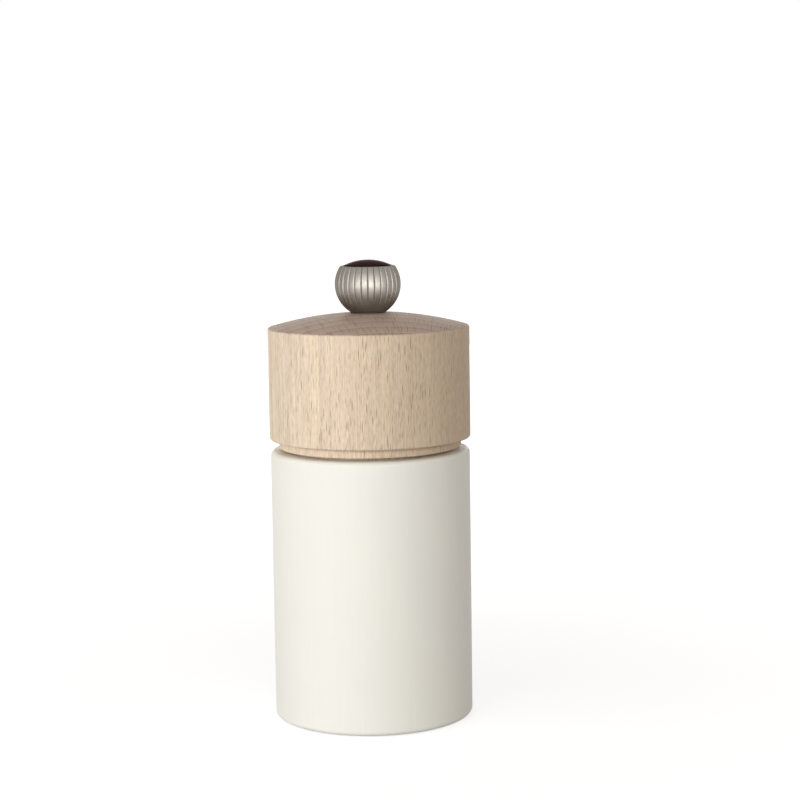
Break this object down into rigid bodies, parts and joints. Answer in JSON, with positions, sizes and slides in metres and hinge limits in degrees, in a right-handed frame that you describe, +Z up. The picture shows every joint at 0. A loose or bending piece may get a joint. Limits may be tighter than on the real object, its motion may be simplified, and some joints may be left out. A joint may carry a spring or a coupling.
{
  "type": "salt mill",
  "caption": "Small twist-top salt mill: lacquered turned body, domed beech head and fluted steel knob that sets the grind.",
  "frame": {"origin": "centre of the base, on the surface that the mill stands on", "axes": "+Z up along the turning axis; -Y towards the viewer of the picture"},
  "size_m": [0.0524, 0.0524, 0.1196],
  "materials": {
    "cream_lacquer": "satin cream lacquer over turned beech",
    "beech": "clear matt varnish, grain along the axis",
    "knob_steel": "satin, fluted",
    "dark_gloss": "high gloss, dark maroon",
    "grinder_steel": "satin, cut teeth",
    "sheet_steel": "brushed sheet",
    "spring_steel": "drawn wire and stamped spring steel",
    "screw_steel": "zinc plated",
    "spindle_aluminium": "drawn bar",
    "white_acetal": "moulded, low friction",
    "black_nylon": "moulded, fine texture",
    "brass": "machined"
  },
  "bodies": {
    "body_unit": {"body_shell": "cream_lacquer", "slip_ring": "white_acetal", "mill_carrier": "black_nylon", "grinding_ring": "grinder_steel", "ring_snap": "spring_steel", "spindle_bridge": "black_nylon", "bottom_bar": "sheet_steel", "carrier_screws": "screw_steel"},
    "bush_unit": {"spindle_bush": "white_acetal", "spring": "spring_steel"},
    "spindle_unit": {"spindle": "spindle_aluminium", "grinding_rotor": "grinder_steel", "spring_seat": "sheet_steel", "rotor_clip": "spring_steel"},
    "head_unit": {"head": "beech", "drive_plate": "sheet_steel", "plate_screws": "screw_steel", "spindle_guide": "white_acetal"},
    "washer_unit": {"knob_washer": "black_nylon"},
    "knob_unit": {"knob": "knob_steel", "knob_nut": "brass", "knob_insert": "dark_gloss"}
  },
  "joints": [
    {"name": "head_turn", "type": "hinge", "parent": "body_unit", "child": "bush_unit", "pos_m": [0, 0, 0.02], "axis": [0, 0, 1], "continuous": true},
    {"name": "grind_set", "type": "slide", "parent": "bush_unit", "child": "spindle_unit", "axis": [0, 0, 1], "range_m": [-0.0008, 0.0008], "deforming": ["spring"]},
    {"name": "head_lift", "type": "slide", "parent": "bush_unit", "child": "head_unit", "axis": [0, 0, 1], "range_m": [0, 0.06]},
    {"name": "knob_lift", "type": "slide", "parent": "head_unit", "child": "washer_unit", "axis": [0, 0, 1], "range_m": [0, 0.02]},
    {"name": "knob_turn", "type": "hinge", "parent": "washer_unit", "child": "knob_unit", "pos_m": [0, 0, 0.106], "axis": [0, 0, 1], "range_deg": [-360, 360]}
  ],
  "couplings": [
    {"joint": "knob_turn", "follows": "grind_set", "rad_per_m": -7854}
  ]
}
